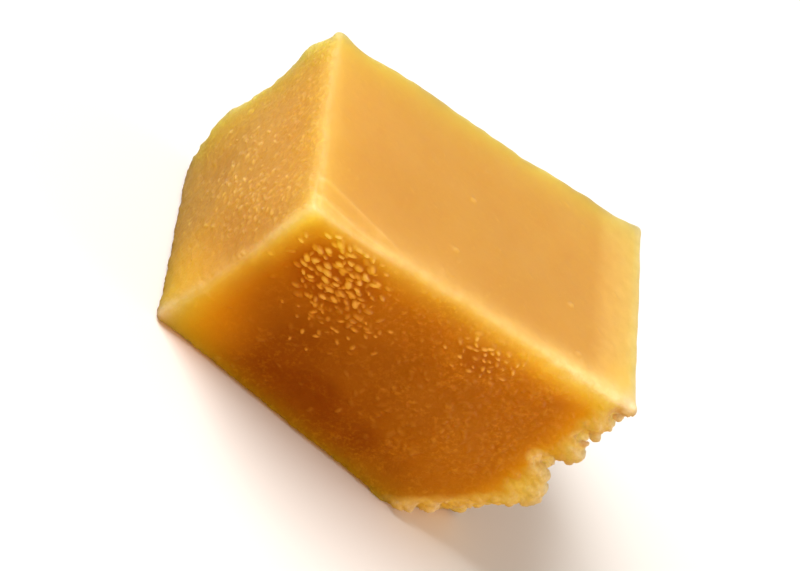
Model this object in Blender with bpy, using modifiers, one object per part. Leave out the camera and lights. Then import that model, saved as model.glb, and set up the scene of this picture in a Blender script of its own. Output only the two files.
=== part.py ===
"""Fudge cube: one block of plain fudge cut by hand from a poured slab.

Units are metres. +Z is up, the block rests on its flat base at z = 0, +X runs along the
block's length toward the end whose front edge has crumbled, and -Y is the front face.
"""

import random

import bmesh
import bpy
from mathutils import Matrix, Vector, noise

MM = 0.001

# Overall block, in millimetres.
LENGTH = 38.0
HEIGHT_LEFT = 22.2
HEIGHT_RIGHT = 24.1

# The knife cuts are not square: distance of each long face from the centre line at the
# left and right ends, along the top and along the foot.
FRONT_TOP = (12.2, 10.8)
FRONT_FOOT = (10.3, 14.3)
BACK_TOP = (11.2, 13.2)
BACK_FOOT = (11.5, 11.6)
LEFT_END_UNDERCUT = 0.8

# How far each face swells beyond the straight line between its edges.
FRONT_CROWN = 0.7
BACK_CROWN = 0.5
END_CROWN = 0.9
TOP_CROWN = 0.25

# Raised rim the knife dragged up along the right end of the top.
RIM_HEIGHT = 0.35
RIM_WIDTH = 0.05

# The poured top spreads a little past the back cut near its right corner.
TOP_FLARE = 0.7
FLARE_START = 0.72

# Places where an edge swells out under the knife: where it is, as shares of the block's
# three sizes, which way it swells, by how many millimetres, and over what distance.
SWELLS = (
    ("front left foot", (0.0, 0.0, 0.0), (-0.7, -0.7, 0.0), 0.7, 3.0),
    ("back left shoulder", (0.0, 1.0, 0.78), (-0.3, 0.9, 0.0), 1.5, 6.0),
    ("back left peak", (0.0, 1.0, 1.0), (-0.4, 0.6, 0.5), 0.7, 2.5),
    ("back left shin", (0.0, 1.0, 0.3), (-0.7, 0.7, 0.0), 0.7, 6.0),
    ("crumbled knob", (1.0, 0.0, 0.44), (0.6, -0.7, 0.0), 0.8, 3.2),
)

# Slow waviness of the cut faces.
WAVE_HEIGHT = 0.45
WAVE_SIZE = 7.0
WAVE_RISE = 0.35
WAVE_OFFSETS = (0.0, 31.7, 58.3)
WAVE_FREE_HEIGHT = 2.0

# Grid of faces along the length, the depth and the height.
CELLS = (24, 15, 15)

# Edge rounding: the widest rounding, and the share of it each kind of edge has.
EDGE_ROUND = 1.15
TOP_EDGE_SHARE = 0.85
UPRIGHT_EDGE_SHARE = 0.75
FOOT_EDGE_SHARE = 0.6
WORN_EDGE_SHARE = 1.0
WORN_CORNER_DEPTH = 0.9
WORN_CORNER_SIZE = 3.5
ROUND_SEGMENTS = 3

# Crumbled front right edge: small bites taken out of it from the break to the top.
BITE_COUNT = 8
BITE_SIZE = (0.9, 1.6)
BITE_OUTSET = 0.5
BITE_SPREAD = 1.1
BITE_TOP = 23.2
NOTCH_HEIGHT = 12.6
NOTCH_SIZE = 1.5
NOTCH_INSET = 0.9

# Broken lower corner of that edge: how far the break reaches along the foot, up the
# edge and back along the end.
BREAK_ALONG = 8.4
BREAK_UP = 9.9
BREAK_BACK = 6.0
BREAK_ROUGHNESS = 0.55
BREAK_GRAIN = 2.6
BREAK_CELLS = (12, 12, 2)
BREAK_BLOCK = 20.0


def mix(a, b, t):
    """Value t of the way from a to b."""
    return a + (b - a) * t


def swell(t):
    """Smooth bulge, nothing at the two ends and one in the middle."""
    return 4.0 * t * (1.0 - t)


def front_y(along, up):
    """Y of the straight front cut in millimetres."""
    return -mix(mix(*FRONT_FOOT, along), mix(*FRONT_TOP, along), up)


def back_y(along, up):
    """Y of the straight back cut in millimetres."""
    return mix(mix(*BACK_FOOT, along), mix(*BACK_TOP, along), up)


def block_point(along, across, up):
    """Point of the crowned, out of square block for shares 0 to 1 of its three sizes."""
    lean = LEFT_END_UNDERCUT * (1.0 - along) * (1.0 - up)
    x = mix(-LENGTH / 2.0, LENGTH / 2.0, along) + lean
    x += END_CROWN * swell(across) * swell(up) * (2.0 * along - 1.0)
    y = mix(front_y(along, up), back_y(along, up), across)
    y += swell(along) * swell(up) * mix(-FRONT_CROWN, BACK_CROWN, across)
    height = mix(HEIGHT_LEFT, HEIGHT_RIGHT, along)
    z = height * up
    z += TOP_CROWN * swell(along) * swell(across) * up
    rim = max(0.0, 1.0 - (1.0 - along) / RIM_WIDTH)
    z += RIM_HEIGHT * rim * up ** 4
    flare = max(0.0, (along - FLARE_START) / (1.0 - FLARE_START))
    y += TOP_FLARE * flare * across * up ** 4
    return Vector((x, y, z))


def knife_swell(point):
    """Outward push of the places where an edge swells under the knife."""
    push = Vector()
    for _, place, way, reach, size in SWELLS:
        near = max(0.0, 1.0 - (point - block_point(*place)).length / size)
        push += Vector(way) * reach * near * near * (3.0 - 2.0 * near)
    return push


def worn_pull(point):
    """Inward pull that rounds off the worn corner at the foot of the back left edge."""
    corner = block_point(0.0, 1.0, 0.0)
    near = max(0.0, 1.0 - (point - corner).length / WORN_CORNER_SIZE)
    return Vector((0.7, -0.7, 0.0)) * WORN_CORNER_DEPTH * near


def waviness(point):
    """Slow sideways waviness, nothing at the flat base."""
    place = point / WAVE_SIZE
    sideways = [noise.noise(place + Vector((offset, 0.0, 0.0))) for offset in WAVE_OFFSETS]
    amount = Vector((sideways[0], sideways[1], WAVE_RISE * sideways[2])) * WAVE_HEIGHT
    return amount * min(1.0, point.z / WAVE_FREE_HEIGHT)


def make_collection(name):
    """Collection of that name in the scene."""
    collection = bpy.data.collections.new(name)
    bpy.context.scene.collection.children.link(collection)
    return collection


def add_object(name, bm, collection):
    """Object made from an edit mesh."""
    mesh = bpy.data.meshes.new(name)
    bm.to_mesh(mesh)
    bm.free()
    obj = bpy.data.objects.new(name, mesh)
    collection.objects.link(obj)
    return obj


def grid_cube(cells):
    """Unit cube cut into cells along its three directions."""
    bm = bmesh.new()
    bmesh.ops.create_cube(bm, size=1.0, matrix=Matrix.Translation((0.5, 0.5, 0.5)))
    for axis, count in enumerate(cells):
        other = [k for k in range(3) if k != axis]
        edges = [
            edge
            for edge in bm.edges
            if all(abs(edge.verts[0].co[k] - edge.verts[1].co[k]) < 1e-6 for k in other)
        ]
        bmesh.ops.subdivide_edges(bm, edges=edges, cuts=count - 1, use_grid_fill=True)
    return bm


def edge_share(a, b):
    """Rounding share of the grid edge between two points of the unit cube."""
    sides = [k for k in range(3) if a[k] == b[k] and a[k] in (0.0, 1.0)]
    if len(sides) < 2:
        return 0.0
    middle = (a + b) / 2.0
    if 2 in sides and middle.z == 1.0:
        return TOP_EDGE_SHARE
    if 2 in sides:
        return FOOT_EDGE_SHARE
    worn = middle.x < 0.5 and middle.y > 0.5
    return WORN_EDGE_SHARE if worn else UPRIGHT_EDGE_SHARE


def block_mesh():
    """Edit mesh of the block before its edges are rounded or broken."""
    bm = grid_cube(CELLS)
    for vert in bm.verts:
        vert.co = Vector([round(value, 6) for value in vert.co])
    share = bm.edges.layers.float.new("bevel_weight_edge")
    for edge in bm.edges:
        edge[share] = edge_share(edge.verts[0].co, edge.verts[1].co)
    for vert in bm.verts:
        point = block_point(*vert.co)
        moved = point + knife_swell(point) + worn_pull(point) + waviness(point)
        if vert.co.z == 0.0:
            moved.z = 0.0
        vert.co = moved * MM
    return bm


def lump(name, centre, size, seed, collection):
    """Irregular faceted lump that bites a crumb out of the block."""
    rng = random.Random(seed)
    bm = bmesh.new()
    bmesh.ops.create_icosphere(bm, subdivisions=2, radius=1.0)
    stretch = Vector([rng.uniform(0.8, 1.25) for _ in range(3)])
    for vert in bm.verts:
        rough = rng.uniform(0.82, 1.12)
        vert.co = vert.co * stretch * rough * size * MM
    turn = Matrix.Rotation(rng.uniform(0.0, 3.0), 4, Vector((0.3, 0.8, 0.5)))
    bm.transform(Matrix.Translation(centre * MM) @ turn)
    return as_cutter(add_object(name, bm, collection))


def as_cutter(obj):
    """Mark an object as a tool that is not part of the finished block."""
    obj.hide_render = True
    obj.display_type = "WIRE"
    return obj


def edge_point(height):
    """Point of the front right edge at a height in millimetres."""
    return block_point(1.0, 0.0, height / HEIGHT_RIGHT)


def edge_bites(collection):
    """Bites along the crumbled edge, and the one deep notch above the break."""
    rng = random.Random(11)
    outward = Vector((1.0, -1.0, 0.0)).normalized()
    cutters = []
    for k in range(BITE_COUNT):
        height = mix(NOTCH_HEIGHT + 2.2, BITE_TOP, k / (BITE_COUNT - 1))
        size = rng.uniform(*BITE_SIZE)
        inward = Vector((-rng.uniform(0.0, BITE_SPREAD), 0.0, 0.0))
        centre = edge_point(height) + outward * size * BITE_OUTSET + inward
        cutters.append(lump(f"bite_{k + 1}", centre, size, 100 + k, collection))
    centre = edge_point(NOTCH_HEIGHT) - outward * NOTCH_INSET
    cutters.append(lump("deep_notch", centre, NOTCH_SIZE, 97, collection))
    return cutters


def corner_break(collection):
    """Rough slanting break that takes off the lower front right corner."""
    along = 1.0 - BREAK_ALONG / LENGTH
    back = BREAK_BACK / (FRONT_FOOT[1] + BACK_FOOT[1])
    foot = block_point(along, 0.0, 0.0)
    edge = edge_point(BREAK_UP)
    end = block_point(1.0, back, 0.0)
    normal = (edge - foot).cross(end - foot).normalized()
    if normal.x < 0.0:
        normal.negate()
    bm = grid_cube(BREAK_CELLS)
    for vert in bm.verts:
        vert.co = (vert.co - Vector((0.5, 0.5, 0.0))) * BREAK_BLOCK
        if vert.co.z == 0.0:
            vert.co.z += noise.noise(vert.co / BREAK_GRAIN) * BREAK_ROUGHNESS
    turn = normal.to_track_quat("Z", "Y").to_matrix().to_4x4()
    middle = (foot + edge + end) / 3.0
    bm.transform(Matrix.Scale(MM, 4) @ Matrix.Translation(middle) @ turn)
    return as_cutter(add_object("corner_break", bm, collection))


def add_edge_rounding(obj):
    """Round the block's edges by each one's share of the widest rounding."""
    bevel = obj.modifiers.new("edge rounding", "BEVEL")
    bevel.limit_method = "WEIGHT"
    bevel.width = EDGE_ROUND * MM
    bevel.segments = ROUND_SEGMENTS
    bevel.use_clamp_overlap = True


def cut_with(obj, cutters):
    """Take every cutter away from the block."""
    for cutter in cutters:
        cut = obj.modifiers.new("cut " + cutter.name, "BOOLEAN")
        cut.operation = "DIFFERENCE"
        cut.solver = "EXACT"
        cut.object = cutter


def fudge_material():
    """Plain caramel coloured fudge with a waxy surface."""
    material = bpy.data.materials.new("fudge")
    material.use_nodes = True
    shader = material.node_tree.nodes["Principled BSDF"]
    shader.inputs["Base Color"].default_value = (0.73, 0.36, 0.075, 1.0)
    shader.inputs["Roughness"].default_value = 0.45
    shader.inputs["Metallic"].default_value = 0.0
    return material


def centre_on_base(obj):
    """Shift the block's mesh so the middle of its bounding box is over the origin."""
    graph = bpy.context.evaluated_depsgraph_get()
    corners = [Vector(corner) for corner in obj.evaluated_get(graph).bound_box]
    middle = sum(corners, Vector()) / len(corners)
    return Matrix.Translation((-middle.x, -middle.y, 0.0))


def build():
    """Make the fudge block."""
    for obj in list(bpy.data.objects):
        bpy.data.objects.remove(obj, do_unlink=True)
    parts = make_collection("fudge cube")
    tools = make_collection("cutters")
    block = add_object("fudge", block_mesh(), parts)
    add_edge_rounding(block)
    cutters = edge_bites(tools) + [corner_break(tools)]
    cut_with(block, cutters)
    block.data.materials.append(fudge_material())
    shift = centre_on_base(block)
    for obj in [block] + cutters:
        obj.data.transform(shift)
    for polygon in block.data.polygons:
        polygon.use_smooth = True


build()
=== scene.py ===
"""Fudge cube: the fine, finished surface of the block, its material, light and camera.

Lengths inside the shaping functions are millimetres in the block's own frame; the finished
mesh is scaled back to metres at the end.
"""

import itertools
import math
import random

import bmesh
import bpy
import numpy as np
from mathutils import Matrix, Vector, kdtree


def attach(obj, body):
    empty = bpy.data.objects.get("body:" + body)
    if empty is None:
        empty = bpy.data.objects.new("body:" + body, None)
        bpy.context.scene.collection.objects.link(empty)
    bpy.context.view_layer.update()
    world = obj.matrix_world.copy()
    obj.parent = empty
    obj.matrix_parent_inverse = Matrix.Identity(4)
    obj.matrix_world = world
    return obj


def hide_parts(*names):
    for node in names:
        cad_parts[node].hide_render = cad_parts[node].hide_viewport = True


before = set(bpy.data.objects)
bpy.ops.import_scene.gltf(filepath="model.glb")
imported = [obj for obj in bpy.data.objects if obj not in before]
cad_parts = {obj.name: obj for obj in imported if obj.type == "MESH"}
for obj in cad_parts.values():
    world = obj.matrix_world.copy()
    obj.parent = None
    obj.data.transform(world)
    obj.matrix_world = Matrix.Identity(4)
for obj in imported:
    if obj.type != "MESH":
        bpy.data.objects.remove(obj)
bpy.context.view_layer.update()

MM = 0.001

# The block's cuts, as the part names them, in millimetres.
LENGTH = 38.0
HEIGHT_LEFT = 22.2
HEIGHT_RIGHT = 24.1
FRONT_TOP = (12.2, 10.8)
FRONT_FOOT = (10.3, 14.3)
BACK_TOP = (11.2, 13.2)
BACK_FOOT = (11.5, 11.6)
LEFT_END_UNDERCUT = 0.8
BREAK_ALONG = 8.4
BREAK_UP = 9.9
BREAK_BACK = 6.0

# Small bumps on the poured top: along and across the block.
TOP_BUMPS = ((-2.2, 1.1), (-3.6, -6.3), (10.2, -3.3), (11.4, -8.6))

# The middle of the block's bounding box, in the coordinates the cuts are named in.
CUT_CENTRE = (0.1552, 0.0097)

# Point spacing of the block while it is bitten, and of its finished surface.
ROUGH_VOXEL = 0.24
VOXEL = 0.125
TRIANGLES = 190000
RELAX_ROUNDS = 22
# Usual height of the block, for spreads given in millimetres across or up a cut face.
FACE_SIZE = 23.0
# How far the middle of the cut faces bulges past the straight cuts.
FRONT_CROWN = 0.7
BACK_CROWN = 0.5
END_CROWN = 0.9


# ---------------------------------------------------------------- noise

def smooth(low, high, value):
    """Smooth step from 0 at low to 1 at high."""
    t = np.clip((value - low) / (high - low), 0.0, 1.0)
    return t * t * (3.0 - 2.0 * t)


def hashed(cell, seed):
    """Three repeatable numbers from 0 to 1 for each lattice cell."""
    cell = cell.astype(np.int64)
    base = cell[..., 0] * 73856093 ^ cell[..., 1] * 19349663 ^ cell[..., 2] * 83492791
    out = []
    for k in range(3):
        n = (base + (seed * 3 + k) * 2654435761) & 0xFFFFFFFF
        n = ((n ^ (n >> 16)) * 0x45D9F3B) & 0xFFFFFFFF
        n = ((n ^ (n >> 16)) * 0x45D9F3B) & 0xFFFFFFFF
        n = n ^ (n >> 16)
        out.append(n / 4294967295.0)
    return np.stack(out, axis=-1)


def noise(points, size, seed):
    """Gradient noise from about -1 to 1 with features of that size."""
    q = points / size
    cell = np.floor(q)
    part = q - cell
    ease = part ** 3 * (part * (part * 6.0 - 15.0) + 10.0)
    total = np.zeros(len(points))
    for corner in itertools.product((0, 1), repeat=3):
        corner = np.array(corner)
        gradient = hashed(cell + corner, seed) * 2.0 - 1.0
        weight = np.prod(np.where(corner == 1, ease, 1.0 - ease), axis=-1)
        total += weight * np.sum(gradient * (part - corner), axis=-1)
    return total * 1.9


def layered(points, size, seed, octaves=3, keep=0.5):
    """Noise with finer and finer octaves added."""
    total = np.zeros(len(points))
    share = 1.0
    for k in range(octaves):
        total += share * noise(points, size * 0.5 ** k, seed + k)
        share *= keep
    return total


def crumbs(points, size, seed):
    """Distance to the nearest and second nearest scattered centre, in cell sizes."""
    q = points / size
    cell = np.floor(q)
    first = np.full(len(points), 9.0)
    second = np.full(len(points), 9.0)
    for step in itertools.product((-1, 0, 1), repeat=3):
        other = cell + np.array(step)
        away = np.linalg.norm(other + hashed(other, seed) - q, axis=-1)
        second = np.minimum(second, np.maximum(first, away))
        first = np.minimum(first, away)
    return first, second


# ---------------------------------------------------------------- where a point is

def mix(a, b, t):
    """Value t of the way from a to b."""
    return a + (b - a) * t


def front_y(along, up):
    return -mix(mix(*FRONT_FOOT, along), mix(*FRONT_TOP, along), up)


def back_y(along, up):
    return mix(mix(*BACK_FOOT, along), mix(*BACK_TOP, along), up)


def cut_point(along, across, up):
    """Point on or in the straight block, in the frame, for shares 0 to 1 of its sizes."""
    lean = LEFT_END_UNDERCUT * (1.0 - along) * (1.0 - up)
    x = mix(-LENGTH / 2.0, LENGTH / 2.0, along) + lean
    y = mix(front_y(along, up), back_y(along, up), across)
    z = mix(HEIGHT_LEFT, HEIGHT_RIGHT, along) * up
    return np.array((x - CUT_CENTRE[0], y - CUT_CENTRE[1], z))


class Place:
    """Distances of points from each straight cut of the block, in millimetres."""

    def __init__(self, points):
        x = points[:, 0] + CUT_CENTRE[0]
        y = points[:, 1] + CUT_CENTRE[1]
        z = points[:, 2]
        self.x, self.y, self.z = x, y, z
        self.along = (x + LENGTH / 2.0) / LENGTH
        self.height = mix(HEIGHT_LEFT, HEIGHT_RIGHT, self.along)
        self.up = z / self.height
        self.top = self.height - z
        self.base = z
        self.front = y - front_y(self.along, self.up)
        self.back = back_y(self.along, self.up) - y
        self.left = x + LENGTH / 2.0 - LEFT_END_UNDERCUT * (1.0 - self.up)
        self.right = LENGTH / 2.0 - x


def break_plane():
    """A point on the broken corner's plane and the plane's outward normal."""
    foot = cut_point(1.0 - BREAK_ALONG / LENGTH, 0.0, 0.0)
    edge = cut_point(1.0, 0.0, BREAK_UP / HEIGHT_RIGHT)
    end = cut_point(1.0, BREAK_BACK / (FRONT_FOOT[1] + BACK_FOOT[1]), 0.0)
    normal = np.cross(edge - foot, end - foot)
    normal /= np.linalg.norm(normal)
    if normal[0] < 0.0:
        normal = -normal
    return foot, edge, end, normal


# ---------------------------------------------------------------- coarse form

# Teeth left standing along the crumbled edge: height up the edge, reach past it, size.
TEETH = ((23.5, -0.4, 0.75), (20.7, -1.7, 1.15), (16.5, -0.7, 1.25), (15.9, -2.2, 0.95),
         (12.4, -1.1, 1.10), (11.2, -0.2, 1.30), (10.1, 0.15, 1.25))
# Bites between the teeth: height up the edge, reach past it, size along and up.
BITES = ((22.35, 0.1, 1.9, 0.95), (18.6, 0.2, 2.3, 1.25), (14.3, 0.25, 3.3, 1.15))
BITE_BACK = 3.2
# Crumbs that would fill the deepest bite are pressed into its floor: the bite's height up
# the edge, half its width, and how far they move.
OPEN_BITE = 14.2
OPEN_HALF = 1.25
PRESSED = (-3.4, 1.4, 0.0)
# Crumbs hanging along the rim of the broken corner: share of the rim from the edge, size.
RIM_CRUMBS = ((0.10, 1.05), (0.21, 0.75), (0.33, 0.55), (0.46, 0.45), (0.58, 0.60))


def add_lump(bm, centre, size, rng, stretch=(1.0, 1.0, 1.0)):
    """Rounded irregular crumb pressed into the block before its surface is rebuilt."""
    made = bmesh.ops.create_icosphere(bm, subdivisions=2, radius=1.0)["verts"]
    turn = Matrix.Rotation(rng.uniform(0.0, 6.0), 3, Vector((0.4, 0.7, 0.6)))
    uneven = Vector([rng.uniform(0.82, 1.18) for _ in range(3)])
    for vert in made:
        blocky = Vector([math.copysign(abs(value) ** 0.72, value) for value in vert.co])
        out = turn @ (blocky * uneven * size * rng.uniform(0.93, 1.07))
        vert.co = Vector([out[k] * stretch[k] for k in range(3)]) + Vector(centre)


def add_edge_crumbs(bm):
    """Teeth and crumbs along the crumbled edge and the rim of the broken corner."""
    rng = random.Random(3)
    for height, reach, size in TEETH:
        spot = cut_point(1.0, 0.0, height / HEIGHT_RIGHT) + np.array((reach, 0.55, 0.0))
        add_lump(bm, spot, size, rng, (1.0, 0.85, 0.9))
    for k in range(34):
        height = rng.uniform(BREAK_UP + 0.4, 23.2)
        spot = cut_point(1.0, 0.0, height / HEIGHT_RIGHT)
        spot += np.array((-rng.uniform(0.4, 3.0), rng.uniform(0.12, 0.35), 0.0))
        if abs(height - OPEN_BITE) < OPEN_HALF:
            spot += np.array(PRESSED)
        add_lump(bm, spot, rng.uniform(0.30, 0.60), rng)
    for k in range(22):
        height = rng.uniform(BREAK_UP + 0.4, 23.0)
        spot = cut_point(1.0, 0.0, height / HEIGHT_RIGHT)
        spot += np.array((-rng.uniform(0.35, 0.85), rng.uniform(1.2, 3.0), 0.0))
        if abs(height - OPEN_BITE) < OPEN_HALF:
            spot += np.array(PRESSED)
        add_lump(bm, spot, rng.uniform(0.35, 0.75), rng)
    foot, edge, end, _ = break_plane()
    for share, size in RIM_CRUMBS:
        spot = mix(edge, foot, share) + np.array((-0.25, 0.45, 0.15))
        add_lump(bm, spot, size, rng)
    for k in range(9):
        spot = mix(edge, foot, mix(0.70, 1.08, k / 8.0)) + np.array((-0.5, 0.85, 0.75))
        add_lump(bm, spot, 1.05 - 0.25 * abs(k / 4.0 - 1.0), rng, (1.25, 0.9, 0.9))
    for k in range(20):
        a, b = rng.random(), rng.random()
        if a + b > 1.0:
            a, b = 1.0 - a, 1.0 - b
        spot = foot + (edge - foot) * a + (end - foot) * b + np.array((-0.3, 0.3, 0.3))
        spot[2] = max(spot[2], 1.2)
        add_lump(bm, spot, rng.uniform(0.45, 1.1), rng)


def even_mesh(mesh, size):
    """Closed mesh with an even grid of points of that size over the same form."""
    rough = bpy.data.objects.new("fudge_block_rough", mesh)
    bpy.context.scene.collection.objects.link(rough)
    remesh = rough.modifiers.new("even surface", "REMESH")
    remesh.mode = "VOXEL"
    remesh.voxel_size = size
    graph = bpy.context.evaluated_depsgraph_get()
    even = bpy.data.meshes.new_from_object(rough.evaluated_get(graph))
    bpy.data.objects.remove(rough, do_unlink=True)
    bpy.data.meshes.remove(mesh)
    return even


def without_specks(mesh):
    """The mesh without specks that touch nothing; joined points share one lowest number."""
    edges = np.zeros(len(mesh.edges) * 2, dtype=np.int64)
    mesh.edges.foreach_get("vertices", edges)
    a, b = edges.reshape(-1, 2).T
    body = np.arange(len(mesh.vertices))
    changed = True
    while changed:
        low = np.minimum(body[a], body[b])
        lower = body.copy()
        for ends in (a, b, body[a], body[b]):
            np.minimum.at(lower, ends, low)
        lower = lower[lower]
        changed = not np.array_equal(lower, body)
        body = lower
    specks = np.flatnonzero(body != np.bincount(body).argmax())
    if len(specks) > 0:
        bm = bmesh.new()
        bm.from_mesh(mesh)
        bm.verts.ensure_lookup_table()
        bmesh.ops.delete(bm, geom=[bm.verts[index] for index in specks], context="VERTS")
        bm.to_mesh(mesh)
        bm.free()
    return mesh


def bite_shapes():
    """Centre and half sizes of each bite."""
    for height, reach, wide, tall in BITES:
        centre = cut_point(1.0, 0.0, height / HEIGHT_RIGHT) + np.array((reach, -0.3, 0.0))
        yield centre, np.array((wide, BITE_BACK, tall))


def carve_bites(mesh):
    """Press the bites between the teeth into the crumbled edge."""
    points, _ = read_points(mesh)
    for centre, sizes in bite_shapes():
        ragged = 1.0 + 0.22 * noise(points, 0.9, 90)
        offset = (points - centre) / sizes
        away = np.linalg.norm(offset, axis=1)
        inside = away < ragged
        push = offset / (away[:, None] + 1e-6) * ragged[:, None] * sizes + centre
        points[inside] = push[inside]
    write_points(mesh, points)


def rebuilt_block():
    """Even, fine mesh of the CAD block, bitten and with crumbs joined on, in millimetres."""
    bm = bmesh.new()
    bm.from_mesh(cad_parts["fudge"].data)
    bmesh.ops.scale(bm, vec=(1.0 / MM,) * 3, verts=bm.verts)
    bmesh.ops.remove_doubles(bm, verts=bm.verts, dist=0.0005)
    mesh = bpy.data.meshes.new("fudge_block_bitten")
    bm.to_mesh(mesh)
    bm.free()
    mesh = even_mesh(mesh, ROUGH_VOXEL)
    carve_bites(mesh)
    bm = bmesh.new()
    bm.from_mesh(mesh)
    add_edge_crumbs(bm)
    bm.to_mesh(mesh)
    bm.free()
    return without_specks(even_mesh(mesh, VOXEL))


def read_points(mesh):
    """Vertex positions and normals of a mesh."""
    count = len(mesh.vertices)
    points = np.zeros(count * 3)
    mesh.vertices.foreach_get("co", points)
    normals = np.zeros(count * 3)
    mesh.vertices.foreach_get("normal", normals)
    return points.reshape(-1, 3), normals.reshape(-1, 3)


def write_points(mesh, points):
    """Set a mesh's vertex positions."""
    mesh.vertices.foreach_set("co", points.ravel())
    mesh.update()


def relaxed(mesh, points, rounds, hold):
    """Points evened out with their neighbours, except where hold is 1."""
    edges = np.zeros(len(mesh.edges) * 2, dtype=np.int64)
    mesh.edges.foreach_get("vertices", edges)
    a, b = edges.reshape(-1, 2).T
    count = np.bincount(a, minlength=len(points)) + np.bincount(b, minlength=len(points))
    for _ in range(rounds):
        total = np.zeros_like(points)
        for axis in range(3):
            total[:, axis] = np.bincount(a, points[b, axis], len(points))
            total[:, axis] += np.bincount(b, points[a, axis], len(points))
        middle = total / count[:, None]
        points = mix(points, middle, 0.5 * (1.0 - hold)[:, None])
    return points


# ---------------------------------------------------------------- fine relief

# A grain may sit a little off the surface, so points are searched this far past its size.
GRAIN_SEARCH = 1.6


class Relief:
    """Height added along each vertex's normal, with the points it applies to."""

    def __init__(self, points, normals):
        self.points = points
        self.normals = normals
        self.height = np.zeros(len(points))
        self.rise = np.zeros(len(points))
        self.sink = np.zeros(len(points))
        self.tint = np.zeros(len(points))
        self.tree = kdtree.KDTree(len(points))
        for index, point in enumerate(points):
            self.tree.insert(point, index)
        self.tree.balance()

    def stamp(self, centre, way, long, wide, tall, tint=0.0):
        """Add one grain, a rounded bump longer along way, or a pit where tall is negative."""
        found = self.tree.find_range(Vector(centre), max(long, wide) * GRAIN_SEARCH)
        if not found:
            return
        index = np.array([item[1] for item in found])
        offset = self.points[index] - np.array(centre)
        normal = self.normals[index].mean(axis=0)
        normal /= np.linalg.norm(normal) + 1e-9
        way = np.array(way) - normal * np.dot(way, normal)
        way /= np.linalg.norm(way) + 1e-9
        side = np.cross(normal, way)
        reach = (offset @ way / long) ** 2 + (offset @ side / wide) ** 2
        dome = np.sqrt(np.clip(1.0 - reach, 0.0, 1.0))
        self.rise[index] = np.maximum(self.rise[index], dome * tall)
        self.sink[index] = np.minimum(self.sink[index], dome * tall)
        self.tint[index] = np.maximum(self.tint[index], dome ** 2 * tint)


def scatter_grains(relief, rng, count, spot, way, sizes, tall, turn=0.5, tint=0.0, apart=0.0):
    """Grains of seeded size and direction at the places spot gives, none closer than apart."""
    taken = []
    for _ in range(count):
        centre, frame_x, frame_y = spot(rng)
        angle = way + rng.gauss(0.0, turn)
        direction = np.array(frame_x) * math.cos(angle) + np.array(frame_y) * math.sin(angle)
        long = rng.uniform(*sizes) / 2.0
        wide = long * rng.uniform(0.38, 0.62)
        high = rng.uniform(*tall)
        strength = tint * rng.uniform(0.30, 1.0)
        if any(np.linalg.norm(centre - other) < apart for other in taken):
            continue
        if apart > 0.0:
            taken.append(centre)
        relief.stamp(centre, direction, long, wide, high, strength)


def front_spot(along, up, spread_along, spread_up, lean=0.0):
    """Places scattered round a point of the front face, in an oval that may lean."""

    def spot(rng):
        a = max(-1.25, min(1.25, rng.gauss(0.0, 0.55)))
        b = max(-1.25, min(1.25, rng.gauss(0.0, 0.55)))
        x = along + (a * spread_along * math.cos(lean) - b * spread_up * math.sin(lean)) / LENGTH
        z = up + (a * spread_along * math.sin(lean) + b * spread_up * math.cos(lean)) / FACE_SIZE
        x = min(max(x, 0.03), 0.97)
        z = min(max(z, 0.04), 0.945)
        crown = FRONT_CROWN * 16.0 * x * (1.0 - x) * z * (1.0 - z)
        return cut_point(x, 0.0, z) - np.array((0.0, crown, 0.0)), (1, 0, 0), (0, 0, 1)

    return spot


def end_spot(side, across, up, spread_across, spread_up):
    """Places scattered round a point of the left (0) or right (1) end."""

    def spot(rng):
        y = min(max(across + rng.gauss(0.0, 0.5) * spread_across / FACE_SIZE, 0.04), 0.96)
        z = min(max(up + rng.gauss(0.0, 0.5) * spread_up / FACE_SIZE, 0.04), 0.96)
        crown = END_CROWN * 16.0 * y * (1.0 - y) * z * (1.0 - z) * (2.0 * side - 1.0)
        return cut_point(side, y, z) + np.array((crown, 0.0, 0.0)), (0, 1, 0), (0, 0, 1)

    return spot


def back_spot(along, up, spread_along, spread_up):
    """Places scattered round a point of the back face."""

    def spot(rng):
        x = min(max(along + rng.gauss(0.0, 0.5) * spread_along / LENGTH, 0.03), 0.97)
        z = min(max(up + rng.gauss(0.0, 0.5) * spread_up / FACE_SIZE, 0.04), 0.96)
        crown = BACK_CROWN * 16.0 * x * (1.0 - x) * z * (1.0 - z)
        return cut_point(x, 1.0, z) + np.array((0.0, crown, 0.0)), (1, 0, 0), (0, 0, 1)

    return spot


def top_spot(rng):
    """Places all over the poured top."""
    x, y = rng.uniform(0.05, 0.94), rng.uniform(0.06, 0.94)
    return cut_point(x, y, 1.0) + np.array((0.0, 0.0, 0.2)), (1, 0, 0), (0, 1, 0)


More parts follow.
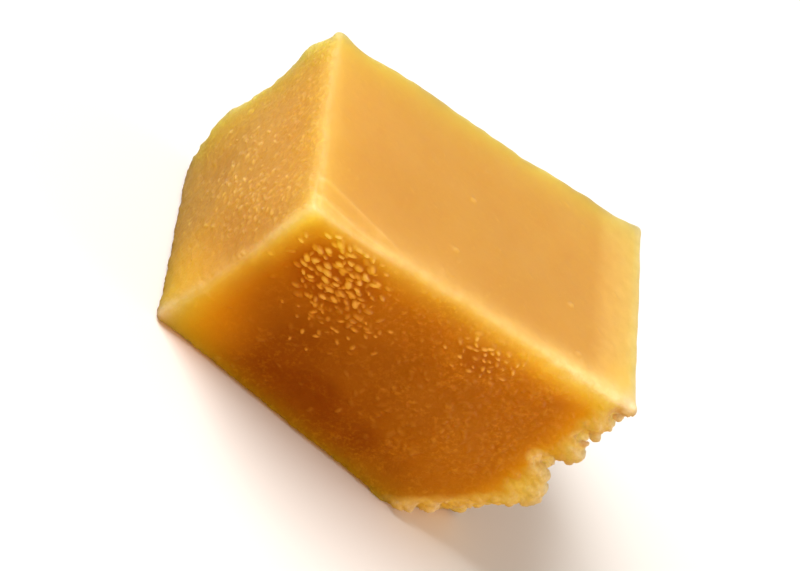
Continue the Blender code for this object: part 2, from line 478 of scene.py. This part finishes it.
def add_grains(relief):
    """Sugar grains and pits: clusters on the cut faces, a few specks on the top."""
    rng = random.Random(21)
    # Dense cluster of rice-like grains high on the front face beside its left edge.
    scatter_grains(relief, rng, 260, front_spot(0.165, 0.81, 3.3, 2.5, -0.8), -0.25,
                   (0.70, 1.25), (0.16, 0.30), 0.40, 1.0, 0.72)
    scatter_grains(relief, rng, 260, front_spot(0.205, 0.75, 4.4, 3.3, -0.8), -0.25,
                   (0.60, 1.10), (0.12, 0.24), 0.50, 0.42, 0.62)
    scatter_grains(relief, rng, 90, front_spot(0.24, 0.66, 5.0, 4.0, -0.7), -0.25,
                   (0.45, 0.85), (0.08, 0.17), 0.6, 0.55, 0.6)
    # Small sparkling cluster under the top edge, and looser grain along to the right.
    scatter_grains(relief, rng, 120, front_spot(0.595, 0.835, 2.7, 1.7), -0.3,
                   (0.45, 0.85), (0.12, 0.22), 0.6, 0.70, 0.52)
    scatter_grains(relief, rng, 420, front_spot(0.76, 0.68, 9.0, 7.0), -0.3,
                   (0.40, 1.10), (0.05, 0.12), 0.7, 0.09, 0.30)
    scatter_grains(relief, rng, 150, front_spot(0.38, 0.80, 9.0, 4.0), -0.2,
                   (0.35, 0.8), (0.05, 0.11), 0.6, 0.14, 0.45)
    scatter_grains(relief, rng, 90, front_spot(0.45, 0.42, 14.0, 8.0), -0.2,
                   (0.5, 1.1), (0.04, 0.08), 0.8, 0.10, 0.6)
    # Two faint smeared marks low on the front face.
    scatter_grains(relief, rng, 9, front_spot(0.64, 0.29, 1.6, 0.9), -0.9,
                   (0.9, 1.7), (0.07, 0.12), 0.3, 0.10, 0.5)
    scatter_grains(relief, rng, 7, front_spot(0.85, 0.43, 1.2, 0.9), -0.9,
                   (0.8, 1.4), (0.07, 0.12), 0.3, 0.10, 0.5)
    # Left end: specks and pits in the middle, a granular strip beside the top edge.
    scatter_grains(relief, rng, 90, end_spot(0.0, 0.44, 0.52, 6.0, 4.5), 0.4,
                   (0.40, 0.85), (0.08, 0.17), 1.0, 0.32, 0.60)
    scatter_grains(relief, rng, 70, end_spot(0.0, 0.22, 0.66, 3.6, 3.6), 0.4,
                   (0.35, 0.8), (0.08, 0.16), 1.0, 0.30, 0.5)
    scatter_grains(relief, rng, 300, end_spot(0.0, 0.45, 0.875, 16.0, 2.6), 0.4,
                   (0.35, 0.8), (0.05, 0.12), 1.2, 0.16, 0.4)
    scatter_grains(relief, rng, 260, end_spot(0.0, 0.5, 0.55, 15.0, 15.0), 0.4,
                   (0.4, 0.9), (0.03, 0.08), 1.2, 0.08, 0.5)
    scatter_grains(relief, rng, 90, end_spot(0.0, 0.5, 0.6, 15.0, 13.0), 0.0,
                   (0.3, 0.6), (-0.16, -0.05), 1.2)
    # Right end, cut like the others, with its own clusters and pits.
    scatter_grains(relief, rng, 160, end_spot(1.0, 0.62, 0.76, 6.5, 3.6), 0.3,
                   (0.40, 0.85), (0.07, 0.16), 0.6, 0.30, 0.55)
    scatter_grains(relief, rng, 170, end_spot(1.0, 0.42, 0.45, 9.0, 9.0), 0.3,
                   (0.35, 0.8), (0.04, 0.11), 0.8, 0.12, 0.5)
    scatter_grains(relief, rng, 70, end_spot(1.0, 0.5, 0.55, 15.0, 14.0), 0.0,
                   (0.3, 0.7), (-0.20, -0.06), 1.2)
    # Back face.
    scatter_grains(relief, rng, 200, back_spot(0.74, 0.78, 6.5, 3.2), 0.2,
                   (0.40, 0.90), (0.07, 0.17), 0.5, 0.32, 0.55)
    scatter_grains(relief, rng, 240, back_spot(0.38, 0.60, 15.0, 9.0), 0.2,
                   (0.35, 0.8), (0.04, 0.10), 0.7, 0.12, 0.5)
    scatter_grains(relief, rng, 90, back_spot(0.5, 0.5, 26.0, 15.0), 0.0,
                   (0.3, 0.75), (-0.20, -0.06), 1.2)
    # Four small bumps and a few tiny specks on the smooth top.
    for x, y in TOP_BUMPS:
        place = cut_point((x + LENGTH / 2.0) / LENGTH, 0.5, 1.0)
        place[1] = y
        relief.stamp(place, (1, 0.4, 0), 0.42, 0.30, 0.11, 0.12)
    scatter_grains(relief, rng, 46, top_spot, 0.3, (0.4, 0.9), (0.015, 0.04), 1.5, 0.05)


def crack_depth(place, points, along, depth, seed):
    """Fine broken crack that runs just under the top edge of a cut face."""
    none = np.zeros_like(along)
    wander = noise(np.stack([along, none, none], axis=-1), 3.5, seed) * 0.45
    line = np.exp(-((place.top - depth - wander) / 0.13) ** 2)
    gaps = smooth(-0.15, 0.35, noise(points, 4.0, seed + 1))
    return line * gaps


def face_shares(normals):
    """How much each point belongs to the top, base, front, back, left and right."""
    share = {}
    share["top"] = smooth(0.55, 0.9, normals[:, 2])
    share["base"] = smooth(0.75, 0.98, -normals[:, 2])
    share["front"] = smooth(0.55, 0.9, -normals[:, 1])
    share["back"] = smooth(0.55, 0.9, normals[:, 1])
    share["left"] = smooth(0.55, 0.9, -normals[:, 0])
    share["right"] = smooth(0.55, 0.9, normals[:, 0])
    return share


def crumble_shares(points, place):
    """Share of each point in the crumbled edge band, and on the broken corner."""
    foot, _, _, normal = break_plane()
    away = (points - foot) @ normal
    ragged = noise(points, 1.6, 71) * 0.55
    broken = smooth(-0.9, -0.1, away + ragged * 0.5) * smooth(0.1, 1.2, points[:, 2])
    radius = np.sqrt(np.maximum(place.front, 0.0) ** 2 + np.maximum(place.right, 0.0) ** 2)
    above = smooth(-0.5, 1.5, place.z - BREAK_UP + 1.0)
    band = (1.0 - smooth(1.0, 3.4, radius + ragged * 1.7)) * above * smooth(0.25, 1.2, place.top)
    for centre, sizes in bite_shapes():
        away = np.linalg.norm((points - centre) / sizes, axis=1)
        band = np.maximum(band, 1.0 - smooth(1.10, 1.45, away + 0.25 * ragged))
    return band, broken


def edge_band(one, other, wide_one, wide_other):
    """Share that is 1 on the edge between two cuts and fades over those widths."""
    fade = (np.maximum(one, 0.0) / wide_one) ** 1.6 + (np.maximum(other, 0.0) / wide_other) ** 1.6
    return np.exp(-fade)


def pale_and_highlit_edges(points, place, share, ridge, rough):
    """Where the fudge is pale: its edges, pale partly from wear and partly as a painted
    highlight, with painted bounce light widening the band by the left foot, and the creases and
    lip of the top.
    """
    corner_near = 1.0 - smooth(1.0, 9.0, place.z)
    along = np.clip(place.along, 0.0, 1.0)
    pale = mix(0.62, 1.0, along) * edge_band(place.top, place.front, mix(1.0, 1.5, along),
                                             mix(1.9, 1.2, along))
    pale += 0.24 * edge_band(place.top, place.left, 1.2, 1.0)
    pale += 0.10 * edge_band(place.top, place.back, 0.6, 0.6)
    pale += 0.55 * edge_band(place.top, place.right, 0.7, 1.6)
    # Painted bounce light: the band widens by the left foot.
    pale += edge_band(place.left, place.front, mix(1.2, 1.8, corner_near), 0.9)
    pale += 0.55 * edge_band(place.right, place.back, 0.8, 0.8)
    pale += 0.35 * edge_band(place.left, place.back, 0.8, 0.8)
    pale += 0.36 * share["top"] * smooth(12.6, 15.0, place.x)
    pale += 0.18 * ridge
    pale *= 0.85 + 0.25 * noise(points, 1.4, 61)
    return np.clip(np.maximum(pale, 0.0), 0.0, 1.0) * (1.0 - rough)


def glassy_bed_and_shade(place, tint):
    """Darker fudge between the grains of the big cluster and the small one: partly glassy fudge,
    partly painted shade between the grains.
    """
    big = ((place.x + 12.2) / 4.6) ** 2 + ((place.z - 17.4) / 4.2) ** 2
    small = ((place.x - 3.6) / 2.4) ** 2 + ((place.z - 19.3) / 1.6) ** 2
    bed = np.maximum(1.0 - smooth(0.3, 1.2, big), 0.7 * (1.0 - smooth(0.3, 1.3, small)))
    return bed * (1.0 - np.clip(tint * 1.6, 0.0, 1.0))


def painted_glow_share(points, place, rough):
    """Painted glow of bounced and shining-through light: bright golden by the left foot, under
    the top edge and round the crumbles.
    """
    inward = np.maximum(np.maximum(place.front, place.left), 0.0)
    foot = 1.0 - smooth(0.0, 11.0, np.sqrt(inward ** 2 + (0.9 * place.base) ** 2))
    front = 1.0 - smooth(0.5, 2.0, place.front)
    under = (1.0 - smooth(1.2, 3.8, place.top)) * smooth(-2.0, 14.0, place.x)
    from_edge = np.hypot(np.maximum(place.front, 0.0), np.maximum(place.right, 0.0))
    ring = 1.0 - smooth(2.5, 7.0, from_edge + 0.10 * place.top)
    wander = 0.85 + 0.30 * noise(points, 2.4, 65)
    beside = 0.55 * np.maximum(under * front, ring) * wander
    return np.clip(np.maximum(foot, beside), 0.0, 1.0) * (1.0 - rough)


def graininess(place, share):
    """How sugary each cut face is: the front smooth low on its left, grainy to the right."""
    front = mix(0.35, 1.0, smooth(-6.0, 9.0, place.x + 0.5 * (place.z - 11.0)))
    cut = share["front"] * front + share["back"] * 0.8 + share["left"] + share["right"]
    return np.clip(cut, 0.0, 1.0)


def painted_shade_share(points, place, share):
    """Painted shade: deeper caramel on the front, back and right faces away from their edges and
    over the base, darker low on the front; the key light leaves these faces in shade.
    """
    skin = smooth(1.3, 4.2, np.minimum(place.top, np.minimum(place.left, place.right)))
    deep = smooth(2.0, 20.0, place.top) * smooth(1.5, 10.0, place.left)
    front = (0.28 * skin + 0.72 * deep * smooth(6.0, 24.0, place.right)) * share["front"]
    # Painted shade deepening towards the foot of the front.
    low = (1.0 - smooth(0.5, 8.0, place.base)) * smooth(4.0, 12.0, place.left)
    low += 0.7 * (1.0 - smooth(0.3, 1.8, place.base)) * smooth(4.0, 9.0, place.left)
    front += 0.55 * low * smooth(3.0, 14.0, place.right) * share["front"]
    deep = smooth(2.0, 20.0, place.top) * smooth(1.5, 12.0, np.minimum(place.left, place.right))
    back = (0.22 * skin + 0.42 * deep) * share["back"]
    skin = smooth(0.8, 2.6, np.minimum(place.top, np.minimum(place.front, place.back)))
    right = (0.22 * skin + 0.30 * smooth(2.0, 18.0, place.top) * skin) * share["right"]
    base = share["base"]
    total = front + back + right + base
    return np.clip(total * (0.92 + 0.22 * noise(points, 4.5, 63)), 0.0, 1.0)


def shape_surface(mesh):
    """Move the even mesh's points into the fine relief; returns its colour shares."""
    points, normals = read_points(mesh)
    place = Place(points)
    hold = np.maximum(*crumble_shares(points, place))
    points = relaxed(mesh, points, RELAX_ROUNDS, hold * 0.94)
    points[:, 2] = np.maximum(points[:, 2], 0.0)
    write_points(mesh, points)
    points, normals = read_points(mesh)
    place = Place(points)
    share = face_shares(normals)
    band, broken = crumble_shares(points, place)
    rough = np.maximum(band, broken)
    sides = np.clip(share["front"] + share["back"] + share["left"] + share["right"], 0, 1)
    relief = Relief(points, normals)
    height = relief.height

    # Slow unevenness everywhere, and the fine grain of the cut faces.
    height += noise(points, 6.5, 1) * 0.10 * (1.0 - 0.75 * share["top"])
    height += noise(points, 2.2, 2) * 0.045 * (0.25 + sides)
    sugar = graininess(place, share)
    height += layered(points, 0.80, 3, 2) * 0.045 * sugar
    height += noise(points, 0.38, 6) * 0.020 * sugar
    height += noise(points, 1.3, 7) * 0.012 * share["top"]

    # Knife drag: faint streaks down the cut faces.
    across = place.x * (share["front"] + share["back"])
    across += place.y * (share["left"] + share["right"])
    stroke = np.stack([across, place.z * 0.10, place.z * 0.0], axis=-1)
    height += noise(stroke, 1.1, 12) * 0.035 * sides

    # Edges: smeared and slightly wavy, with small teeth where the knife left the block.
    edge_top = 1.0 - smooth(0.3, 1.6, place.top)
    edge_near = np.minimum.reduce([np.abs(place.front), np.abs(place.back),
                                   np.abs(place.left), np.abs(place.right)])
    rim = edge_top * (1.0 - smooth(0.3, 1.6, edge_near))
    height += noise(points, 1.9, 15) * 0.13 * rim * (1.0 - 0.7 * smooth(3.0, 0.8, place.right))
    height += 0.07 * edge_band(place.top, place.front, 0.5, 0.5)
    height += 0.10 * edge_band(place.left, place.front, 0.5, 0.5)
    upright = edge_band(place.left, place.back, 1.6, 1.6)
    upright += 0.35 * edge_band(place.right, place.back, 1.2, 1.2)
    height += (noise(points, 2.6, 17) * 0.26 + noise(points, 1.0, 18) * 0.09) * upright
    foot_rim = (1.0 - smooth(0.2, 1.4, place.base)) * (1.0 - smooth(0.2, 1.4, edge_near))
    height += np.abs(noise(points, 0.9, 16)) * 0.16 * foot_rim

    # Smeared corner: the top bends down to the front left corner, with fine creases.
    inset = np.maximum(place.front, 0.0)
    run = np.clip((place.x + 19.0) / 12.0, 0.0, 1.0)
    crease_one = mix(4.2, 1.0, np.clip((place.x + 19.0) / 10.0, 0.0, 1.0))
    crease_two = mix(1.9, 0.5, np.clip((place.x + 19.0) / 6.0, 0.0, 1.0))
    near_corner = (1.0 - smooth(0.55, 1.0, run)) * share["top"]
    bend = np.clip(1.0 - inset / crease_one, 0.0, 1.0)
    height -= 0.30 * bend ** 1.5 * near_corner
    ridge = np.exp(-((inset - crease_one) / 0.30) ** 2) * near_corner
    ridge += np.exp(-((inset - crease_two) / 0.24) ** 2) * near_corner
    height += 0.09 * ridge
    height -= 0.05 * np.exp(-((inset - crease_two - 0.75) / 0.28) ** 2) * near_corner

    # Thin lip along the right end of the top, with a shallow channel inside it.
    height += 0.16 * np.exp(-((place.right - 0.45) / 0.28) ** 2) * edge_top
    height -= 0.07 * np.exp(-((place.right - 1.25) / 0.35) ** 2) * share["top"]

    # Cracks just under the top on the two hidden cut faces and the left end.
    crack = crack_depth(place, points, place.x, 1.7, 31) * share["back"]
    crack += crack_depth(place, points, place.y, 1.5, 36) * share["right"]
    height -= 0.30 * np.clip(crack, 0.0, 1.0)

    # Shallow open pores on the base, which stays flat where it rests.
    pores, _ = crumbs(points, 1.5, 41)
    height -= 0.22 * (1.0 - smooth(0.10, 0.24, pores)) * share["base"]

    # Crumbled band and broken corner: packed nodules with dark gaps between them.
    chosen = rough > 0.01
    near, second = crumbs(points[chosen], 1.15, 51)
    small, small_second = crumbs(points[chosen], 0.48, 52)
    nodules = 0.19 * (0.55 - near) - 0.09 * (1.0 - smooth(0.02, 0.35, second - near))
    nodules += 0.03 * (0.5 - small) - 0.02 * (1.0 - smooth(0.02, 0.30, small_second - small))
    height[chosen] += nodules * rough[chosen]

    add_grains(relief)
    height += relief.rise + relief.sink
    outward = normals * height[:, None]
    outward[:, 2] = np.where(points[:, 2] < 0.02, np.maximum(outward[:, 2], 0.0), outward[:, 2])
    moved = points + outward
    moved[:, 2] = np.maximum(moved[:, 2], 0.0)

    pale = pale_and_highlit_edges(points, place, share, ridge, rough)
    # Crumb colour in thin bands along the front's top and left edges: partly crumbs, partly
    # painted edge highlight, wider by the foot as painted bounce light.
    crumbs_and_edge_highlight = 0.85 * edge_band(place.top, place.front, 1.2, 1.3) * smooth(2.0, 16.0, place.x)
    crumbs_and_edge_highlight += 0.80 * edge_band(place.top, place.front, 0.42, 0.50)
    foot = 1.0 - smooth(1.0, 9.0, place.z)
    crumbs_and_edge_highlight += mix(0.45, 0.95, foot) * edge_band(place.left, place.front,
                                                     mix(0.50, 0.95, foot), 0.50)
    colour = {
        "pale": pale,
        "cut": np.clip(sugar + rough, 0.0, 1.0),
        # Painted shade on the faces turned from the key light.
        "painted_shade": painted_shade_share(points, place, share) * (1.0 - rough),
        "grain": np.clip(relief.tint, 0.0, 1.0),
        # Partly painted shade between the grains.
        "deep": glassy_bed_and_shade(place, relief.tint) * share["front"],
        "crumb": np.clip(np.maximum(band, 0.85 * broken) + crumbs_and_edge_highlight, 0.0, 1.0),
        # Painted glow.
        "glow": painted_glow_share(points, place, rough),
    }
    return moved, colour


def add_share(mesh, name, values):
    """Store one value a point on the mesh for the material to read."""
    attribute = mesh.attributes.new(name, "FLOAT", "POINT")
    attribute.data.foreach_set("value", values.astype(np.float32))


def thinned(mesh):
    """Mesh with fewer triangles where the surface is smooth."""
    mesh.calc_loop_triangles()
    count = len(mesh.loop_triangles)
    if count <= TRIANGLES:
        return mesh
    heavy = bpy.data.objects.new("fudge_block_heavy", mesh)
    bpy.context.scene.collection.objects.link(heavy)
    decimate = heavy.modifiers.new("fewer triangles", "DECIMATE")
    decimate.ratio = TRIANGLES / count
    graph = bpy.context.evaluated_depsgraph_get()
    light = bpy.data.meshes.new_from_object(heavy.evaluated_get(graph))
    bpy.data.objects.remove(heavy, do_unlink=True)
    return light


def make_block():
    """The finished fudge block, standing for the CAD node."""
    mesh = rebuilt_block()
    points, colour = shape_surface(mesh)
    write_points(mesh, points)
    for name, values in colour.items():
        add_share(mesh, name, values)
    mesh = thinned(mesh)
    mesh.transform(Matrix.Scale(MM, 4))
    mesh.shade_smooth()
    mesh.name = "fudge_block"
    block = bpy.data.objects.new("fudge_block", mesh)
    bpy.context.scene.collection.objects.link(block)
    mesh.materials.clear()
    mesh.materials.append(fudge_material())
    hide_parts("fudge")
    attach(block, "root")
    return block


# ---------------------------------------------------------------- material

class Graph:
    """Small helper that adds and links the nodes of one material."""

    def __init__(self, material):
        self.tree = material.node_tree
        self.nodes = self.tree.nodes

    def add(self, kind, **settings):
        node = self.nodes.new(kind)
        for name, value in settings.items():
            setattr(node, name, value)
        return node

    def link(self, source, target):
        self.tree.links.new(source, target)

    def share(self, name):
        """A value stored on the mesh's points."""
        return self.add("ShaderNodeAttribute", attribute_name=name).outputs["Fac"]

    def noise(self, coordinates, size, detail=2.0, roughness=0.5):
        """Noise texture whose features are size millimetres across."""
        node = self.add("ShaderNodeTexNoise")
        node.inputs["Scale"].default_value = 1.0 / (size * MM)
        node.inputs["Detail"].default_value = detail
        node.inputs["Roughness"].default_value = roughness
        self.link(coordinates, node.inputs["Vector"])
        return node.outputs["Fac"]

    def remap(self, value, low, high, to_low, to_high):
        """Value mapped from one range to another and held inside it."""
        node = self.add("ShaderNodeMapRange")
        node.inputs["From Min"].default_value = low
        node.inputs["From Max"].default_value = high
        node.inputs["To Min"].default_value = to_low
        node.inputs["To Max"].default_value = to_high
        self.link(value, node.inputs["Value"])
        return node.outputs["Result"]

    def math(self, operation, a, b):
        """Two values combined; either may be a plain number."""
        node = self.add("ShaderNodeMath", operation=operation)
        for socket, value in zip(node.inputs, (a, b)):
            if isinstance(value, (int, float)):
                socket.default_value = value
            else:
                self.link(value, socket)
        return node.outputs["Value"]

    def mix(self, share, a, b, blend="MIX"):
        """Two colours mixed by a share; either may be a plain colour."""
        node = self.add("ShaderNodeMix", data_type="RGBA", blend_type=blend)
        if isinstance(share, (int, float)):
            node.inputs[0].default_value = share
        else:
            self.link(share, node.inputs[0])
        for socket, value in ((node.inputs[6], a), (node.inputs[7], b)):
            if isinstance(value, tuple):
                socket.default_value = value + (1.0,)
            else:
                self.link(value, socket)
        return node.outputs[2]


# Colours: the fudge itself and its darker drift, painted shade on the faces away from the key and
# between the grains, painted glow, speckles, pale edges that are partly painted highlight, crumbs
# and grains.
BODY = (0.560, 0.290, 0.053)
DEEP = (0.540, 0.270, 0.044)
# Painted shade: amber near the edges of the shaded faces, deeper colour away from them.
SHADED_SKIN = (0.590, 0.278, 0.020)
DEEP_SHADE = (0.290, 0.080, 0.005)
# Dark colour of painted shade: between the grains, and for flecks inside the painted shade.
DARK_SHADED = (0.400, 0.140, 0.008)
LIGHT = (0.720, 0.410, 0.075)
# Pale edges: partly wear, partly painted highlight.
PALE = (0.900, 0.585, 0.185)
GRAIN = (1.000, 0.690, 0.300)
GOLD = (0.800, 0.490, 0.115)
# Painted glow colour.
PAINTED_GLOW = (1.000, 0.520, 0.035)
CRUMB = (1.000, 0.780, 0.340)
# How far light spreads inside the fudge, and how much of it does.
SCATTER = 0.028
SCATTER_REACH = (0.85, 0.90, 0.25)
SCATTER_SHARE = 0.88
GRAIN_OPAQUE = 0.45
CRUMB_OPAQUE = 0.40
SPECULAR = 0.38
REFRACTION = 1.45
BUMP_STRENGTH = 0.65
BUMP_DEPTH = 0.00011


def fudge_material():
    """Waxy, translucent caramel fudge: grainy where cut, paler at edges and crumbs, with painted
    shade, painted glow and partly painted edge highlights in its colour.
    """
    material = bpy.data.materials.new("fudge")
    material.use_nodes = True
    g = Graph(material)
    shader = g.nodes["Principled BSDF"]
    where = g.add("ShaderNodeTexCoord").outputs["Object"]
    cut = g.share("cut")
    grain = g.share("grain")
    crumb = g.share("crumb")

    # Colour: slow cloudy drift, sugar speckle and darker flecks on the cut faces, with painted
    # shade on the faces turned from the key light.
    cloud = g.remap(g.noise(where, 7.0, 3.0), 0.35, 0.65, 0.0, 1.0)
    colour = g.mix(cloud, BODY, DEEP)
    # Painted shade: amber near the edges of the faces turned from the key, deeper within;
    # speckles and flecks there take shaded colours too.
    painted_shade = g.share("painted_shade")
    colour = g.mix(g.remap(painted_shade, 0.0, 0.2, 0.0, 1.0), colour, SHADED_SKIN)
    colour = g.mix(painted_shade, colour, DEEP_SHADE)
    patch = g.remap(g.noise(where, 3.4, 3.0, 0.6), 0.40, 0.62, 0.15, 1.0)
    speckle = g.remap(g.noise(where, 0.45, 3.0, 0.6), 0.48, 0.68, 0.0, 0.80)
    patchy_cut = g.math("MULTIPLY", patch, g.remap(cut, 0.0, 1.0, 0.1, 1.0))
    speckle = g.math("MULTIPLY", speckle, patchy_cut)
    colour = g.mix(speckle, colour, g.mix(painted_shade, LIGHT, SHADED_SKIN))
    fleck = g.remap(g.noise(where, 0.75, 3.0, 0.6), 0.52, 0.68, 0.0, 0.75)
    fleck = g.math("MULTIPLY", fleck, g.math("MULTIPLY", cut, patch))
    colour = g.mix(fleck, colour, g.mix(painted_shade, DEEP, DARK_SHADED))
    # Darker between the grains of the clusters: partly glassy fudge, partly painted shade.
    colour = g.mix(g.math("MULTIPLY", g.share("deep"), 0.75), colour, DARK_SHADED)

    # Painted glow of bounced and shining-through light by the left foot, under the top edge and
    # round the crumbles.
    colour = g.mix(g.math("MULTIPLY", g.share("glow"), 0.85), colour, PAINTED_GLOW)

    # Pale edges, partly from wear and partly a painted highlight, pale grains, and crumbs mottled
    # from pale to body colour.
    wear_and_highlight = g.remap(g.noise(where, 1.1, 3.0), 0.3, 0.7, 0.7, 1.0)
    edge = g.math("MULTIPLY", g.share("pale"), wear_and_highlight)
    colour = g.mix(edge, colour, PALE)
    mottle = g.remap(g.noise(where, 0.9, 3.0, 0.6), 0.40, 0.62, 1.0, 0.60)
    colour = g.mix(g.math("MULTIPLY", crumb, mottle), colour, CRUMB)
    strong = g.remap(grain, 0.25, 0.6, 0.0, 1.0)
    colour = g.mix(g.remap(grain, 0.0, 0.3, 0.0, 0.85), colour, g.mix(strong, GOLD, GRAIN))
    g.link(colour, shader.inputs["Base Color"])

    # Roughness: satin on the poured top, duller and uneven where cut, glossier grains.
    patches = g.remap(g.noise(where, 3.0, 3.0), 0.3, 0.7, -0.05, 0.07)
    fine = g.remap(g.noise(where, 0.5, 2.0), 0.3, 0.7, -0.07, 0.07)
    rough = g.math("ADD", g.remap(cut, 0.0, 1.0, 0.43, 0.46), patches)
    rough = g.math("ADD", rough, g.math("MULTIPLY", fine, cut))
    rough = g.math("SUBTRACT", rough, g.math("MULTIPLY", grain, 0.12))
    g.link(rough, shader.inputs["Roughness"])

    # Relief too fine for the mesh: sugar grain, and a faint orange-peel skin on the top.
    grit = g.noise(where, 0.24, 3.0, 0.6)
    skin = g.noise(where, 0.8, 2.0, 0.5)
    high = g.math("MULTIPLY", grit, g.remap(cut, 0.0, 1.0, 0.08, 1.0))
    high = g.math("ADD", high, g.math("MULTIPLY", skin, 0.35))
    bump = g.add("ShaderNodeBump")
    bump.inputs["Strength"].default_value = BUMP_STRENGTH
    bump.inputs["Distance"].default_value = BUMP_DEPTH
    g.link(high, bump.inputs["Height"])
    g.link(bump.outputs["Normal"], shader.inputs["Normal"])

    # Grains and crumbs are more opaque than the fudge between them.
    opaque = g.math("MAXIMUM", g.math("MULTIPLY", grain, GRAIN_OPAQUE),
                    g.math("MULTIPLY", crumb, CRUMB_OPAQUE))
    g.link(g.math("SUBTRACT", SCATTER_SHARE, opaque), shader.inputs["Subsurface Weight"])
    shader.inputs["Subsurface Radius"].default_value = SCATTER_REACH
    shader.inputs["Subsurface Scale"].default_value = SCATTER
    shader.inputs["IOR"].default_value = REFRACTION
    shader.inputs["Specular IOR Level"].default_value = SPECULAR
    return material


def plain_material(name, colour, roughness):
    """Plain floor material with a barely visible variation."""
    material = bpy.data.materials.new(name)
    material.use_nodes = True
    g = Graph(material)
    shader = g.nodes["Principled BSDF"]
    where = g.add("ShaderNodeTexCoord").outputs["Object"]
    drift = g.remap(g.noise(where, 60.0, 2.0), 0.3, 0.7, 0.0, 1.0)
    darker = tuple(value * 0.985 for value in colour)
    g.link(g.mix(drift, colour, darker), shader.inputs["Base Color"])
    shader.inputs["Roughness"].default_value = roughness
    return material


# ---------------------------------------------------------------- floor, light, camera

FLOOR_HALF_SIZE = 3.0
FLOOR_GAP = 0.00005
FLOOR_COLOUR = (0.90, 0.885, 0.87)
FLOOR_ROUGHNESS = 0.75


def make_floor():
    """Plain pale floor under the block."""
    bm = bmesh.new()
    bmesh.ops.create_grid(bm, x_segments=2, y_segments=2, size=FLOOR_HALF_SIZE)
    mesh = bpy.data.meshes.new("floor")
    bm.to_mesh(mesh)
    bm.free()
    floor = bpy.data.objects.new("floor", mesh)
    floor.location = (0.0, 0.0, -FLOOR_GAP)
    floor.visible_diffuse = False
    floor.visible_glossy = False
    mesh.materials.append(plain_material("floor", FLOOR_COLOUR, FLOOR_ROUGHNESS))
    bpy.context.scene.collection.objects.link(floor)
    return floor


LIGHT_DISTANCE = 1.60
LIGHT_SIZE = 1.10
LIGHT_TARGET = (0.0, 0.0, 0.011)
KEY_WAY = (-0.66, 0.27, 0.70)
KEY_POWER = 36.5
KEY_COLOUR = (1.0, 0.98, 0.95)
SIDE_WAY = (0.94, -0.06, 0.32)
SIDE_POWER = 8.5
SIDE_COLOUR = (1.0, 0.97, 0.92)
# Light from the surroundings: pale above, amber from low in front, dim brown underneath.
SKY = (0.38, 0.38, 0.38)
UNDER = (0.080, 0.040, 0.010)
AMBER = (1.30, 0.63, 0.036)
AMBER_WAY = (0.12, -0.93, -0.34)
AMBER_FADE = (0.15, 0.80)
UNDER_FADE = (-0.75, -0.35)


def soft_light(name, way, power, colour):
    """Square soft light that shines on the block from that direction."""
    data = bpy.data.lights.new(name, "AREA")
    data.shape = "SQUARE"
    data.size = LIGHT_SIZE
    data.energy = power
    data.color = colour
    light = bpy.data.objects.new(name, data)
    way = Vector(way).normalized()
    light.location = Vector(LIGHT_TARGET) + way * LIGHT_DISTANCE
    light.rotation_mode = "QUATERNION"
    light.rotation_quaternion = way.to_track_quat("Z", "Y")
    bpy.context.scene.collection.objects.link(light)
    return light


def make_light():
    """Soft key over the left end, weak side light, pale fill that is amber from below."""
    soft_light("key", KEY_WAY, KEY_POWER, KEY_COLOUR)
    soft_light("side", SIDE_WAY, SIDE_POWER, SIDE_COLOUR)
    world = bpy.data.worlds.new("studio")
    bpy.context.scene.world = world
    world.use_nodes = True
    g = Graph(world)
    where = g.add("ShaderNodeTexCoord").outputs["Generated"]
    facing = g.add("ShaderNodeVectorMath", operation="DOT_PRODUCT")
    g.link(where, facing.inputs[0])
    facing.inputs[1].default_value = Vector(AMBER_WAY).normalized()
    share = g.remap(facing.outputs["Value"], *AMBER_FADE, 0.0, 1.0)
    split = g.add("ShaderNodeSeparateXYZ")
    g.link(where, split.inputs[0])
    above = g.remap(split.outputs["Z"], *UNDER_FADE, 0.0, 1.0)
    colour = g.mix(above, UNDER, g.mix(share, SKY, AMBER))
    g.link(colour, g.nodes["Background"].inputs["Color"])


# The camera's right and backward directions, its place and target in millimetres.
CAMERA_RIGHT = (0.737032, 0.102423, 0.668052)
CAMERA_BACK = (-0.480521, -0.61568, 0.62453)
CAMERA_PLACE = (-128.55, -200.98, 166.82)
CAMERA_LENS = 138.6
AIM = (0.0, 0.0, 11.4)


def make_camera():
    """Camera at the photograph's viewing angle, aimed at the block."""
    data = bpy.data.cameras.new("camera")
    data.lens = CAMERA_LENS
    data.sensor_width = 36.0
    data.clip_start = 0.01
    data.clip_end = 20.0
    camera = bpy.data.objects.new("camera", data)
    place = Vector(CAMERA_PLACE) * MM
    back = (place - Vector(AIM) * MM).normalized()
    tilt = Vector(CAMERA_BACK).rotation_difference(back)
    right = tilt @ Vector(CAMERA_RIGHT)
    right = (right - back * right.dot(back)).normalized()
    up = back.cross(right)
    turn = Matrix((right, up, back)).transposed().to_4x4()
    camera.matrix_world = Matrix.Translation(place) @ turn
    bpy.context.scene.collection.objects.link(camera)
    bpy.context.scene.camera = camera


make_camera()
make_light()
make_floor()
make_block()
bpy.context.scene.view_settings.view_transform = "Standard"
